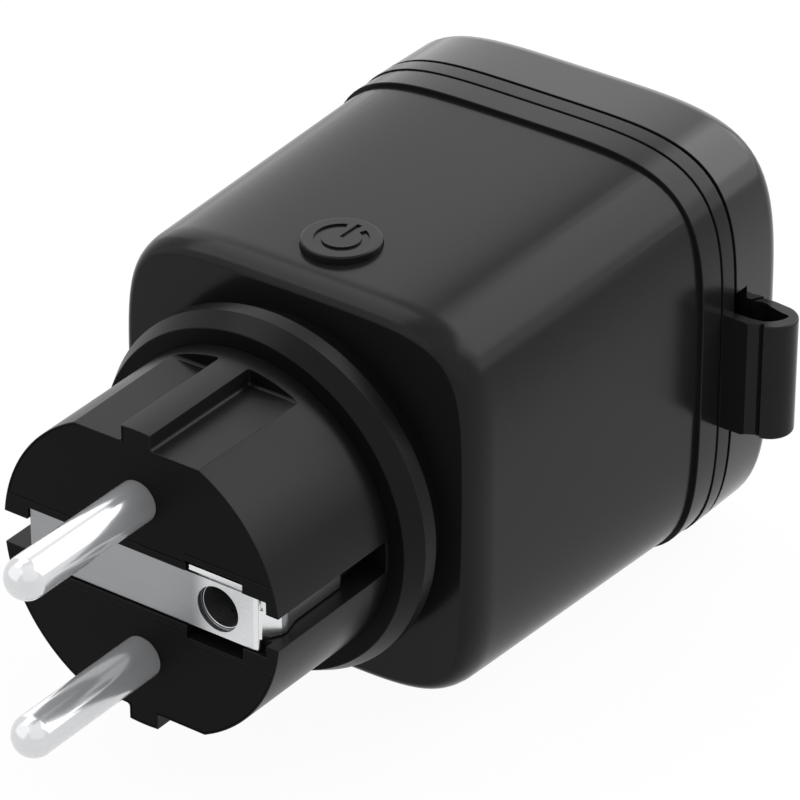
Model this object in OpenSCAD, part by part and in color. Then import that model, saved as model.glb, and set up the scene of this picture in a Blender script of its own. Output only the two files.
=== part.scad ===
// Outdoor smart plug with a side hinged rear cover, in millimetres.
// The origin is the centre of the plug face, midway between the two pins.
// +X is the cover's hinge side, +Y runs back to the cover, +Z is the button side.

/* [Plug] */
// Diameter of the two current pins
pin_d = 4.8; // [4.0:0.1:5.0]
// Distance between the pin axes
pin_pitch = 19; // [18.8:0.1:19.2]
// How far the pins stand out of the plug face
pin_out = 20; // [18:0.1:21]
// Radius of the plug at its face
plug_r = 18; // [17:0.05:18.5]
// Radius of the plug where it meets the sealing collar
root_r = 17.9; // [16.5:0.05:18]
// Half height across the two flats
flat_h = 16.1; // [15:0.1:17]
// Half width of the key rib on each flat
rib_w = 1.9; // [1:0.1:3]
// Where the flats end in a wall up to the full round
wall_y = 16.5; // [14:0.1:18]
// Length of the plug from its face to the sealing collar
root_y = 18.85; // [17:0.05:20]
// Half height of the channel across the face
channel_h = 3.35; // [2.5:0.05:4]
// Half height of the two side grooves
groove_h = 1.9; // [1.5:0.1:2.5]
// Distance of the earth pin hole from the centre
earth_x = 9.9; // [9.5:0.1:10.2]
// Bore radius of the earth pin tube
earth_r = 2.45; // [2.4:0.01:2.5]

/* [Housing] */
// Front face of the housing
front_y = 26.4; // [25:0.1:28]
// Rounding of the front edge
front_round = 2.4; // [1:0.1:4]
// Half width of the housing just behind the front rounding
front_a = 23.5; // [22:0.1:25]
// Half width of the housing at the rear band
rear_a = 24.9; // [23:0.1:25.2]
// Where the rear band starts
band_y = 66.9; // [64:0.1:68]
// Half width of the rear band and the cover
band_a = 25.55; // [25:0.05:26]
// Corner radius of the rear band and the cover
band_r = 11; // [8:0.1:14]
// Large radius of the slightly curved sides of the rear band
band_k = 190; // [120:5:400]
// Corner radius of the housing
body_r = 8.8; // [6:0.1:12]
// Large radius of the housing's slightly curved sides
body_k = 258; // [120:1:400]
// Centre of the seam between the housing and the hinge ring
seam_y = 70.5; // [69:0.1:72]
// Rear face of the hinge ring
ring_y = 72.8; // [72:0.05:74]

/* [Cover] */
// Front edge of the cover when closed
lid_y = 73.25; // [73:0.05:74]
// Outer rear face of the cover when closed
lid_back = 82.85; // [82:0.05:86]
// Rounding of the cover's rear edge
lid_round = 2.8; // [1:0.1:4]
// Hinge axis, across
hinge_x = 29.9; // [29:0.05:31]
// Hinge axis, front to back
hinge_y = 73.95; // [73:0.05:75]
// Outer radius of the hinge loop
loop_r = 2.8; // [2.4:0.05:3.2]
// Height of the hinge loop above the middle
loop_h = 6.95; // [6:0.05:8]
// Depth of the hinge loop below the middle
loop_low = 7.3; // [6.5:0.05:8]
// Widest opening of the cover, in degrees
lid_open = 110; // [90:1:110]

/* [Button] */
// Radius of the button disc
button_r = 4.35; // [4:0.05:5]
// Place of the button along the housing
button_y = 35.2; // [33:0.1:38]
// Height of the button's top face
button_top = 24.42; // [24:0.01:25]
// Travel of the button
button_travel = 0.6; // [0.3:0.1:0.8]

/* [Socket] */
// Radius of the socket recess
recess_r = 19.6; // [19.5:0.05:20]
// Floor of the socket recess
floor_y = 55.6; // [55:0.1:56]
// Bore radius of the socket contacts
contact_r = 2.45; // [2.41:0.01:2.5]

/* [Hidden] */
$fn = 72;
pin_r = pin_d / 2;
pin_z = pin_pitch / 2;
body_end = seam_y - 0.1;
ring_front = seam_y + 0.1;
inner_y = 29;
cavity_a = 21.2;
mouth_a = 22.7;
mouth_y = 54;
shank_end = 30.2;
screw_p = 17.6;
post_p = 15.6;
board_y = 33;
board_t = 1.6;
board_back = board_y + board_t;
card_z = 16.6;
knuckle_r = 1.8;
knuckle_gap = 0.3;
arm_low = -4.4;
arm_high = 2.9;
web_low = arm_low - knuckle_gap;
web_high = arm_high + knuckle_gap;
web_t = 1.2;

// Flat shape in X and Z carried from y0 to y1
module along_y(y0, y1) translate([0, y1, 0]) rotate([90, 0, 0]) linear_extrude(height = y1 - y0) children();

// Flat shape in Y and Z carried from x0 to x1
module along_x(x0, x1) translate([x0, 0, 0]) rotate([90, 0, 90]) linear_extrude(height = x1 - x0) children();

// Flat shape in X and Y carried from z0 to z1
module along_z(z0, z1) translate([0, 0, z0]) linear_extrude(height = z1 - z0) children();

// Round bar lying along Y
module rod_y(r, y0, y1, x = 0, z = 0) translate([x, y1, z]) rotate([90, 0, 0]) cylinder(r = r, h = y1 - y0);

// Box given by its two opposite corners
module box(a, b) translate(a) cube(b - a);

// Same shape on both sides of the XY plane
module both_z() {
  children();
  mirror([0, 0, 1]) children();
}

// Same shape on both sides of the YZ plane
module both_x() {
  children();
  mirror([1, 0, 0]) children();
}

// Same shape at the four corners at distance p
module four(p) for (sx = [-1, 1], sz = [-1, 1]) translate([sx * p, 0, sz * p]) children();

// Square with rounded corners of radius r and sides curved to radius k
module soft_square(a, r, k) {
  d = k - a;
  c = (sqrt(2 * (k - r) * (k - r) - d * d) - d) / 2;
  tx = k * (c + d) / (k - r) - d;
  tz = k * c / (k - r);
  intersection() {
    translate([-d, 0]) circle(r = k, $fn = 360);
    translate([d, 0]) circle(r = k, $fn = 360);
    translate([0, -d]) circle(r = k, $fn = 360);
    translate([0, d]) circle(r = k, $fn = 360);
    union() {
      square([2 * tx, 2 * tz], center = true);
      square([2 * tz, 2 * tx], center = true);
      square([2 * a + 2, 2 * tz], center = true);
      square([2 * tz, 2 * a + 2], center = true);
      polygon([[tx, tz], [tz, tx], [-tz, tx], [-tx, tz], [-tx, -tz], [-tz, -tx], [tz, -tx], [tx, -tz]]);
    }
  }
  for (sx = [-1, 1], sz = [-1, 1]) translate([sx * c, sz * c]) circle(r = r, $fn = 48);
}

// Inset of a quarter round of radius r at depth t from its face
function round_in(r, t) = r - sqrt(r * r - (r - t) * (r - t));

// Thin section of the housing at y, set in by s
module body_section(y, a, s) along_y(y, y + 0.02) soft_square(a - s, body_r - s, body_k);

// Thin section of the cover at y, set in by s
module lid_section(y, s) along_y(y - 0.02, y) soft_square(band_a - s, band_r - s, band_k);

// Tapered outside of the housing with its rounded front edge
module body_skin() hull() {
  body_section(front_y, front_a, front_round);
  body_section(front_y + 0.2, front_a, round_in(front_round, 0.2));
  body_section(front_y + 0.75, front_a, round_in(front_round, 0.75));
  body_section(front_y + 1.5, front_a, round_in(front_round, 1.5));
  body_section(front_y + front_round, front_a, 0);
  body_section(band_y, rear_a, 0);
}

module main_body() color("#232427") difference() {
  union() {
    difference() {
      union() {
        body_skin();
        along_y(band_y, body_end) soft_square(band_a - 0.15, band_r, band_k);
      }
      along_y(inner_y, mouth_y) soft_square(cavity_a, 7.4, body_k);
      along_y(mouth_y - 0.5, body_end + 1) soft_square(mouth_a, 8.6, body_k);
    }
    four(screw_p) rod_y(3.1, 56, 68.4);
    four(screw_p + 1.4) rod_y(2.6, 56, 68.4);
    four(post_p) rod_y(2.6, inner_y - 0.5, board_y);
    translate([0, button_y, 19.9]) cylinder(r = 6.9, h = 2);
  }
  translate([0, button_y, 18]) cylinder(r = 6.1, h = cavity_a - 18.1);
  rod_y(root_r + 0.05, front_y - 1, inner_y + 1);
  translate([0, button_y, 18]) cylinder(r = button_r + 0.1, h = 10);
  four(screw_p) rod_y(1.5, 58, 69);
  four(post_p) rod_y(1, 30, board_y + 1);
}

// The four cuts that leave the flats and the key ribs
module flats() both_z() both_x() box([rib_w, -1, flat_h], [22, wall_y, flat_h + 5]);

// Outline of the two inset face plates, shrunk by g
module face_plates(g) difference() {
  intersection() {
    circle(r = 16.7 - g);
    square([40, 2 * (14.85 - g)], center = true);
  }
  translate([-30, -4.25 - g]) square([36.2, 8.5 + 2 * g]);
  translate([6.1 - g, -5.3 - g]) square([30, 10.6 + 2 * g]);
}

// Stems and web that join the face plates behind the earth strap, grown by g
module carrier_core(g) {
  both_z() rod_y(3.6 + g, 1.9 - g, 5 + g, 0, pin_z);
  box([-2.5 - g, 2.75 - g, -pin_z], [2.5 + g, 5 + g, pin_z]);
}

module plug_body() color("#232427") difference() {
  union() {
    translate([0, root_y, 0]) rotate([90, 0, 0]) cylinder(r1 = root_r, r2 = plug_r, h = root_y);
    rod_y(root_r, root_y - 0.01, shank_end);
    rod_y(18.6, inner_y, shank_end);
  }
  flats();
  along_y(-1, 2) face_plates(0);
  carrier_core(0.08);
  box([-14.8, -1, -channel_h], [16.3, 1.1, channel_h]);
  box([-14.9, -1, -groove_h], [-13.9, 2.5, groove_h]);
  box([6.3, -1, -4.6], [14.2, 2.6, 4.6]);
  both_x() box([14.8, -1, -groove_h], [20, 18.3, groove_h]);
  both_z() rod_y(pin_r - 0.05, -1, 31, 0, pin_z);
  rod_y(3, -1, 31, earth_x, 0);
}

module pin_carrier() color("#1d1e20") difference() {
  union() {
    along_y(0.12, 2) face_plates(0.08);
    carrier_core(0);
  }
  both_z() rod_y(pin_r - 0.05, -1, 31, 0, pin_z);
  box([-20, -1, -channel_h - 0.05], [20, 2.7, channel_h + 0.05]);
}

module seal_collar() color("#202124") rotate([-90, 0, 0]) rotate_extrude() polygon([
  [root_r + 0.04, root_y], [20.04, root_y], [21.2, 21.04], [21.2, 23.03], [20.9, 23.3],
  [19.2, 23.3], [19.2, front_y], [root_r + 0.04, front_y]]);

module pin_at(z) translate([0, 0, z]) {
  rod_y(pin_r, pin_r - pin_out, 0);
  translate([0, pin_r - pin_out, 0]) sphere(r = pin_r);
  rod_y(pin_r - 0.1, -0.1, shank_end + 0.1);
  rod_y(3.2, shank_end, shank_end + 0.8);
  rod_y(1.1, shank_end + 0.7, 35);
}

module live_pin() color("#c9cbcd") pin_at(pin_z);

module neutral_pin() color("#c9cbcd") pin_at(-pin_z);

module earth_strap() color("#9a9c9f") difference() {
  union() {
    box([-14.7, 0.3, -3.2], [16.2, 1.1, 3.2]);
    along_z(-1.75, 1.75) polygon([[15.6, 0.3], [16.2, 0.3], [17.3, 0.75], [17.35, 1.35], [16.2, 2.6],
      [15.95, 13], [15.3, 14.2], [14.9, 13.9], [15.25, 12.8], [15.25, 2.2], [16.1, 1.25], [15.6, 1.1]]);
    box([-14.7, 1, -1.75], [-14, 2.35, 1.75]);
    box([-15.9, 1.75, -1.75], [-14, 2.35, 1.75]);
    box([-15.9, 1.75, -1.75], [-15.2, 13, 1.75]);
    box([7.2, 0.9, 3.05], [13, 1.6, 4.2]);
    box([6.9, 0.25, 3.55], [13.3, 2.3, 4.25]);
  }
  rod_y(earth_r, -1, 3, earth_x, 0);
}

module earth_tube() color("#9a9c9f") difference() {
  rod_y(2.95, 1.1, 21.3, earth_x, 0);
  rod_y(earth_r, 1, 20.3, earth_x, 0);
}

module earth_link() color("#9a9c9f") box([earth_x - 0.6, 21.3, -2.2], [earth_x + 0.6, 48.6, 2.2]);

module earth_clips() color("#9a9c9f") {
  box([-20.7, 48.6, -2.8], [20.7, 49.6, 2.8]);
  both_x() along_z(-2.8, 2.8) polygon([[20.7, 49], [20.7, 69.9], [20.2, 70.4], [19.2, 70.4], [18.6, 69.8],
    [17.6, 64.6], [17.6, 63.9], [18.5, 59.4], [19.1, 59.6], [18.35, 64.2], [19.25, 69.4],
    [19.9, 69.4], [19.9, 49]]);
}

// Outline of the socket recess with its two guide segments and key slots
module recess_plan() {
  intersection() {
    circle(r = recess_r);
    square([50, 33], center = true);
  }
  intersection() {
    circle(r = recess_r);
    square([5.2, 37.8], center = true);
  }
}

module socket_insert() color("#1d1e20") difference() {
  union() {
    rod_y(21.1, 53.6, 73);
    along_y(68.4, ring_front) soft_square(22.2, 8.2, body_k);
    both_z() rod_y(4.6, 49.9, 54, 0, pin_z);
    both_x() box([11, 49.6, -2.8], [13, 54, 2.8]);
  }
  along_y(floor_y, 74) recess_plan();
  both_z() rod_y(contact_r, 49, 57, 0, pin_z);
  both_z() rod_y(3.45, 49, 51.6, 0, pin_z);
  both_x() box([18.3, floor_y - 3, -3.3], [21.6, 71, 3.3]);
  four(screw_p) rod_y(1.6, 68, 71);
}

module contact_at(z) translate([0, 0, z]) difference() {
  union() {
    rod_y(3.3, 36.2, 51.6);
    box([-3.6, 35.3, -3.3], [3.6, 36.4, 3.3]);
    both_x() rod_y(0.7, 32.4, 35.4, 2.6, 0);
    both_x() rod_y(1, board_back, 35.4, 2.6, 0);
  }
  rod_y(contact_r, 37.2, 53);
  box([-0.5, 40, -5], [0.5, 53, 5]);
}

module live_contact() color("#b58a45") contact_at(pin_z);

module neutral_contact() color("#b58a45") contact_at(-pin_z);

module body_gasket() color("#161617") along_y(body_end, ring_front) difference() {
  soft_square(band_a - 0.45, band_r - 0.3, band_k);
  soft_square(mouth_a + 0.3, 8.9, body_k);
}

// Outline of the hinge loop seen from above
module loop_outer() {
  translate([hinge_x, hinge_y]) circle(r = loop_r);
  polygon([[25.2, 70.8], [28.6, 70.8], [hinge_x, hinge_y - loop_r], [hinge_x, 72.6], [25.2, 72.4]]);
  intersection() {
    polygon([[25.9, 75.4], [hinge_x, 75.2], [hinge_x, hinge_y + loop_r], [28.6, 76.9], [25.9, 76.9]]);
    translate([hinge_x, hinge_y]) circle(r = 4.1);
  }
}

// Opening of the hinge loop seen from above
module loop_inner(r) {
  translate([hinge_x, hinge_y]) circle(r = r);
  polygon([[25.5, 72.4], [hinge_x, hinge_y - r], [hinge_x, hinge_y + r], [25.5, 75.4]]);
}

// Space the cover's arm sweeps between closed and fully open
module arm_sweep() {
  translate([25.5, 72.95]) square([hinge_x - 25.5, 6]);
  translate([hinge_x, hinge_y]) rotate(180 - lid_open) translate([0, -1.2]) square([8, 12]);
  translate([hinge_x, hinge_y]) circle(r = knuckle_r + knuckle_gap);
}

module hinge_ring() color("#232427") difference() {
  union() {
    along_y(ring_front, ring_y) soft_square(band_a, band_r, band_k);
    difference() {
      along_z(-loop_low, loop_h) loop_outer();
      along_z(web_high + web_t, loop_h + 1) loop_inner(1.45);
      along_z(-loop_low - 1, web_low - web_t - 0.3) loop_inner(1.45);
      along_z(web_low, web_high) arm_sweep();
      translate([hinge_x, hinge_y, -5.8]) cylinder(r = 0.95, h = 18);
      box([26.2, hinge_y - 1.68, -1.9], [hinge_x, 73, -1]);
    }
  }
  rod_y(21.3, 70, 74);
  four(screw_p) rod_y(1.6, 70, 74);
  four(screw_p) rod_y(2.8, 71.3, 74);
}

module housing_screws() color("#8d8f92") four(screw_p) difference() {
  union() {
    rod_y(1.45, 58.5, 71.4);
    rod_y(2.6, 71.3, 72.5);
  }
  box([-1.6, 71.9, -0.3], [1.6, 73, 0.3]);
  box([-0.3, 71.9, -1.6], [0.3, 73, 1.6]);
}

module lid() color("#232427") difference() {
  union() {
    difference() {
      union() {
        along_y(lid_y, lid_back - lid_round) soft_square(band_a, band_r, band_k);
        hull() {
          lid_section(lid_back - lid_round, 0);
          lid_section(lid_back - 1.9, round_in(lid_round, 1.9));
          lid_section(lid_back - 1, round_in(lid_round, 1));
          lid_section(lid_back - 0.3, round_in(lid_round, 0.3));
          lid_section(lid_back, lid_round);
        }
      }
      along_y(lid_y - 1, 80.3) soft_square(23.3, 8.9, band_k);
      box([22.8, lid_y - 1, -8.6], [27, 75.4, 8.6]);
    }
    difference() {
      rod_y(22, 74.9, 80.5);
      rod_y(20, 74, 80.3);
    }
    along_z(-loop_low, loop_h) difference() {
      polygon([[25, 75.6], [27, 75.6], [26.7, 76.9], [26, 76.85], [25, 76.3]]);
      translate([hinge_x, hinge_y]) circle(r = 4.25);
    }
    box([21.6, 73.35, arm_low], [25.1, 78, arm_high]);
    box([24.5, 73.35, arm_low], [27.6, 74.85, arm_high]);
    box([27.5, 73.35, arm_low], [hinge_x, 74.85, -2.3]);
    box([27.5, 73.35, 0.7], [hinge_x, 74.85, arm_high]);
    translate([hinge_x, hinge_y, arm_low]) cylinder(r = knuckle_r, h = -2.3 - arm_low);
    translate([hinge_x, hinge_y, 0.7]) cylinder(r = knuckle_r, h = arm_high - 0.7);
  }
  translate([hinge_x, hinge_y, -9]) cylinder(r = 0.96, h = 18);
  difference() {
    rod_y(21.95, 73, 74.9);
    rod_y(20.05, 72, 76);
  }
}

module lid_gasket() color("#161617") difference() {
  rod_y(21.9, 73.3, 74.9);
  rod_y(20.1, 73, 75);
}

module hinge_pin() color("#b8babc") translate([hinge_x, hinge_y, -5.8]) cylinder(r = 0.9, h = 10.1);

module hinge_spring() color("#a0a2a5") {
  for (i = [0:3]) translate([hinge_x, hinge_y, -1.47 + 0.55 * i]) rotate_extrude()
    translate([1.4, 0]) circle(r = 0.3);
  translate([26.4, hinge_y - 1.4, -1.47]) rotate([0, 90, 0]) cylinder(r = 0.28, h = hinge_x - 26.4);
}

module main_board() color("#1f4a33") difference() {
  along_y(board_y, board_back) soft_square(20.5, 6.8, body_k);
  box([-11.6, 32, card_z], [11.6, 36, 24]);
  four(post_p) rod_y(1.2, 32, 36);
  both_z() rod_y(1.2, 32, 36, 0, pin_z);
  both_z() both_x() rod_y(0.8, 32, 36, 2.6, pin_z);
  box([earth_x - 0.8, 32, -2.5], [earth_x + 0.8, 36, 2.5]);
  rod_y(0.5, 32, 36, -9.5, -15);
  rod_y(0.5, 32, 36, -5.5, -15);
  rod_y(0.5, 32, 36, 6, -16);
  rod_y(0.5, 32, 36, 6, -8.8);
}

module board_screws() color("#8d8f92") four(post_p) {
  rod_y(0.95, 30.2, 34.7);
  rod_y(2.1, board_back, 36);
}

module relay() color("#2a5fa8") box([-19.2, board_back, -9.5], [-5.2, 48, 9.5]);

module storage_capacitor() color("#3a3d42") difference() {
  rod_y(4.2, board_back, 46.8, 12.6, -9.4);
  box([12.5, 46.5, -12], [12.7, 47, -6.8]);
  box([10, 46.5, -9.5], [15.2, 47, -9.3]);
}

module film_capacitor() color("#c9a24a") box([5.2, board_back, 6.2], [18, 44, 13.2]);

module varistor() color("#2f6fb0") {
  translate([-7.5, 39.9, -16.9]) cylinder(r = 4.4, h = 3.8);
  for (x = [-9.5, -5.5]) rod_y(0.4, 32.6, 37, x, -15);
  for (x = [-9.5, -5.5]) rod_y(0.8, board_back, 35, x, -15);
}

module fuse_resistor() color("#8fa08a") {
  translate([6, 36.7, -16.4]) cylinder(r = 1.6, h = 8);
  for (z = [-16, -8.8]) rod_y(0.35, 32.6, 36.7, 6, z);
  for (z = [-16, -8.8]) rod_y(0.8, board_back, 35, 6, z);
}

module choke() color("#6b4a2b") {
  rod_y(2.9, board_back, 35.8, -10.6, 12.9);
  rod_y(2.3, 35.7, 41.3, -10.6, 12.9);
  rod_y(2.9, 41.2, 42.4, -10.6, 12.9);
}

module bridge_rectifier() color("#1b1b1d") box([-3, 31.2, -2.4], [3, board_y, 2.4]);

module control_board() color("#1f4a33") box([-11, 31, card_z], [11, 47, card_z + 1]);

module wifi_module() color("#b9bcc0") {
  box([-7, 36.5, 15.8], [7, 46.5, card_z]);
  box([-6, 37.2, 14], [6, 44, 15.81]);
}

module tact_switch() color("#3b3d40") difference() {
  box([-2.5, button_y - 2.5, card_z + 1], [2.5, button_y + 2.5, 18.8]);
  translate([0, button_y, 17.75]) cylinder(r = 1.1, h = 3);
}

module tact_plunger() color("#d8d8d4") translate([0, button_y, 18.45]) cylinder(r = 1, h = 1.45);

module status_led() color("#dfe8f0") box([3.9, 37.8, card_z + 1], [5.5, 38.6, 18.3]);

module button_cap() color("#232427") translate([0, button_y, 0]) difference() {
  union() {
    translate([0, 0, 20.7]) cylinder(r = button_r, h = button_top - 0.2 - 20.7);
    translate([0, 0, button_top - 0.21]) cylinder(r1 = button_r, r2 = button_r - 0.2, h = 0.21);
    translate([0, 0, 20.2]) cylinder(r = 5, h = 0.65);
  }
  difference() {
    translate([0, 0, button_top - 0.25]) cylinder(r = 0.68 * button_r, h = 1);
    translate([0, 0, button_top - 1]) cylinder(r = 0.49 * button_r, h = 3);
    along_z(23, 26) polygon([[0, 0], [1.7, 4], [-1.7, 4]]);
  }
  box([-0.085 * button_r, 0, button_top - 0.25], [0.085 * button_r, 0.75 * button_r, 26]);
}

module button_seal() color("#161617") translate([0, button_y, 20.1]) difference() {
  cylinder(r = 6.05, h = cavity_a - 20.2);
  translate([0, 0, -1]) cylinder(r = 5.25, h = 3);
}

main_body();
plug_body();
pin_carrier();
seal_collar();
live_pin();
neutral_pin();
earth_strap();
earth_tube();
earth_link();
earth_clips();
socket_insert();
live_contact();
neutral_contact();
body_gasket();
hinge_ring();
housing_screws();
lid();
lid_gasket();
hinge_pin();
hinge_spring();
main_board();
board_screws();
relay();
storage_capacitor();
film_capacitor();
varistor();
fuse_resistor();
choke();
bridge_rectifier();
control_board();
wifi_module();
tact_switch();
tact_plunger();
status_led();
button_cap();
button_seal();
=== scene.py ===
import math

import bmesh
import bpy
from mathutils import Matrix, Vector


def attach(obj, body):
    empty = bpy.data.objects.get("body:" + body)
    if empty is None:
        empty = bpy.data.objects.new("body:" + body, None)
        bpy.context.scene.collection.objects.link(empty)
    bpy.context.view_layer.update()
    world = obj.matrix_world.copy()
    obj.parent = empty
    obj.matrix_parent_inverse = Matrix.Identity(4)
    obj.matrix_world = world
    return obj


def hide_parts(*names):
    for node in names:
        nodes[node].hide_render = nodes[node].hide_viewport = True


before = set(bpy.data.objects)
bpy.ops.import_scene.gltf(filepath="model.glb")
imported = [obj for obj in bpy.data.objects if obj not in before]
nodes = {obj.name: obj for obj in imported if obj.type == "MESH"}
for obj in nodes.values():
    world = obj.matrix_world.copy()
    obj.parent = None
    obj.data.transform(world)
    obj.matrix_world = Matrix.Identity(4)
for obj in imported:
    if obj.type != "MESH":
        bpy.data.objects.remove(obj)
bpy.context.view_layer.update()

mm = 0.001
near = 0.01     # mm, how close a vertex has to be to a place to count as on it
past = 2        # mm that a cutting tool stands out past the piece
overlap = 1     # mm that two bodies of one piece run into each other
print("frame loaded:", len(nodes), "nodes")


# small tools

def toLinear(hexColour):
    # sRGB hex to the linear colour that a socket takes
    parts = [int(hexColour[i:i + 2], 16) / 255 for i in (1, 3, 5)]
    return tuple(c / 12.92 if c <= 0.04045 else ((c + 0.055) / 1.055) ** 2.4 for c in parts) + (1.0,)


def addNode(tree, kind, settings=None, links=None):
    # a shader node with its settings, sockets and links in one go
    node = tree.nodes.new(kind)
    for key, value in (settings or {}).items():
        if isinstance(key, str) and hasattr(node, key):
            setattr(node, key, value)
        else:
            node.inputs[key].default_value = value
    for key, source in (links or {}).items():
        tree.links.new(source, node.inputs[key])
    return node


def clearSelection():
    if bpy.context.mode != "OBJECT":
        bpy.ops.object.mode_set(mode="OBJECT")
    bpy.ops.object.select_all(action="DESELECT")


def selectOnly(piece):
    clearSelection()
    piece.select_set(True)
    bpy.context.view_layer.objects.active = piece


def editPiece(piece, kind="FACE"):
    selectOnly(piece)
    bpy.ops.object.mode_set(mode="EDIT")
    bpy.ops.mesh.select_mode(type=kind)
    bpy.ops.mesh.select_all(action="DESELECT")


def pick(piece, kind, test):
    # selects the faces, edges or vertices that pass the test, in edit mode
    bpy.ops.mesh.select_mode(type=kind)
    bpy.ops.mesh.select_all(action="DESELECT")
    mesh = bmesh.from_edit_mesh(piece.data)
    parts = {"FACE": mesh.faces, "EDGE": mesh.edges, "VERT": mesh.verts}[kind]
    for part in parts:
        if test(part):
            part.select_set(True)
    mesh.select_flush_mode()
    bmesh.update_edit_mesh(piece.data)


def liesAt(vertex, **places):
    # whether the vertex is at those places, such as x=12
    return all(abs(getattr(vertex.co, axis) / mm - place) < near for axis, place in places.items())


def runsAlong(edge, axis):
    ends = [getattr(v.co, axis) for v in edge.verts]
    return abs(ends[0] - ends[1]) > 10 * near * mm


def bevelEdges(piece, test, width, steps, shape=0.5):
    # rounds the edges that pass the test
    editPiece(piece, "EDGE")
    pick(piece, "EDGE", test)
    bpy.ops.mesh.bevel(offset=width * mm, segments=steps, profile=shape)
    clearSelection()


def bevelRim(piece, width, steps, **place):
    # rounds the rim of the end face at that place, such as y=12
    def isRim(edge):
        return all(liesAt(v, **place) for v in edge.verts) and edge.calc_face_angle(0) > 0.6

    bevelEdges(piece, isRim, width, steps)


def placeApplied(name):
    # names the new primitive and puts its place in its mesh
    piece = bpy.context.object
    piece.name = name
    piece.data.name = name
    bpy.ops.object.transform_apply(location=True, rotation=True, scale=True)
    return piece


def block(low, high, name="block"):
    clearSelection()
    low, high = Vector(low) * mm, Vector(high) * mm
    bpy.ops.mesh.primitive_cube_add(size=1, location=(low + high) / 2, scale=high - low)
    return placeApplied(name)


def box(rangeX, rangeY, rangeZ, name="block"):
    # a block given by its range along each axis
    return block((rangeX[0], rangeY[0], rangeZ[0]), (rangeX[1], rangeY[1], rangeZ[1]), name)


def rodAlongY(radius, frontY, backY, x=0, z=0, backRadius=None, sides=96, name="rod"):
    clearSelection()
    bpy.ops.mesh.primitive_cone_add(
        vertices=sides, radius1=radius * mm, radius2=(backRadius or radius) * mm, depth=(backY - frontY) * mm,
        location=(x * mm, (frontY + backY) / 2 * mm, z * mm), rotation=(-math.pi / 2, 0, 0))
    return placeApplied(name)


def rodAlongZ(radius, lowZ, highZ, x=0, y=0, sides=96, name="rod"):
    clearSelection()
    bpy.ops.mesh.primitive_cone_add(
        vertices=sides, radius1=radius * mm, radius2=radius * mm, depth=(highZ - lowZ) * mm,
        location=(x * mm, y * mm, (lowZ + highZ) / 2 * mm))
    return placeApplied(name)


def softSquare(halfWidth, frontY, backY, corner, sides=40, name="softSquare"):
    # a square bar along Y whose corner bevels run almost to the middle of each side
    piece = block((-halfWidth, frontY, -halfWidth), (halfWidth, backY, halfWidth), name)
    bevelEdges(piece, lambda e: runsAlong(e, "y"), halfWidth * 0.996, sides, corner)
    return piece


def withTool(piece, tool, kind):
    # cuts, joins or keeps the overlap with a tool body, which is then gone
    selectOnly(piece)
    step = piece.modifiers.new("tool", "BOOLEAN")
    step.operation = kind
    step.solver = "EXACT"
    step.object = tool
    bpy.ops.object.modifier_apply(modifier=step.name)
    bpy.data.objects.remove(tool)
    return piece


def cut(piece, *tools):
    for tool in tools:
        withTool(piece, tool, "DIFFERENCE")
    return piece


def join(piece, *tools):
    for tool in tools:
        withTool(piece, tool, "UNION")
    return piece


def drawLine(points, name, x=0, z=0):
    # one vertex extruded from point to point, and left selected in edit mode
    clearSelection()
    bpy.ops.mesh.primitive_plane_add(size=1 * mm, location=(0, 0, 0))
    piece = placeApplied(name)
    editPiece(piece, "VERT")
    bpy.ops.mesh.select_all(action="SELECT")
    bpy.ops.mesh.merge(type="CENTER")
    bpy.ops.transform.translate(value=((x + points[0][0]) * mm, points[0][1] * mm, z * mm))
    for (x0, y0), (x1, y1) in zip(points, points[1:]):
        way = ((x1 - x0) * mm, (y1 - y0) * mm, 0)
        bpy.ops.mesh.extrude_vertices_move(TRANSFORM_OT_translate={"value": way})
    bpy.ops.mesh.select_all(action="SELECT")
    return piece


def faceOutwards():
    bpy.ops.mesh.select_all(action="SELECT")
    bpy.ops.mesh.normals_make_consistent(inside=False)
    clearSelection()


def drawOutline(points, lowZ, highZ, name="outline"):
    # a closed outline seen from above, filled and pulled up
    piece = drawLine(points, name, z=lowZ)
    bpy.ops.mesh.edge_face_add()
    bpy.ops.mesh.select_all(action="SELECT")
    bpy.ops.mesh.extrude_region_move(TRANSFORM_OT_translate={"value": (0, 0, (highZ - lowZ) * mm)})
    faceOutwards()
    return piece


def spinProfile(points, x=0, z=0, steps=128, name="turned"):
    # a profile of (radius, y) points turned round the Y direction
    piece = drawLine(points, name, x, z)
    bpy.ops.mesh.spin(steps=steps, angle=2 * math.pi, center=(x * mm, 0, z * mm), axis=(0, 1, 0))
    bpy.ops.mesh.select_all(action="SELECT")
    bpy.ops.mesh.remove_doubles(threshold=0.002 * mm)
    faceOutwards()
    return piece


def roundCorner(centre, radius, fromDegrees, toDegrees, steps):
    # points of an arc, for the outlines
    turns = [math.radians(fromDegrees + (toDegrees - fromDegrees) * i / steps) for i in range(steps + 1)]
    return [(centre[0] + radius * math.cos(t), centre[1] + radius * math.sin(t)) for t in turns]


def softenEdges(piece, width, sharpest=32, steps=2):
    # a small moulded radius on every crisp edge
    selectOnly(piece)
    weld = piece.modifiers.new("weld", "WELD")
    weld.merge_threshold = 0.004 * mm
    bpy.ops.object.modifier_apply(modifier=weld.name)
    editPiece(piece)
    bpy.ops.mesh.select_all(action="SELECT")
    bpy.ops.mesh.dissolve_limited(angle_limit=math.radians(0.5))
    clearSelection()
    selectOnly(piece)
    step = piece.modifiers.new("soften", "BEVEL")
    step.width = width * mm
    step.segments = steps
    step.limit_method = "ANGLE"
    step.angle_limit = math.radians(sharpest)
    step.use_clamp_overlap = False
    step.miter_outer = "MITER_ARC"
    bpy.ops.object.modifier_apply(modifier=step.name)


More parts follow.
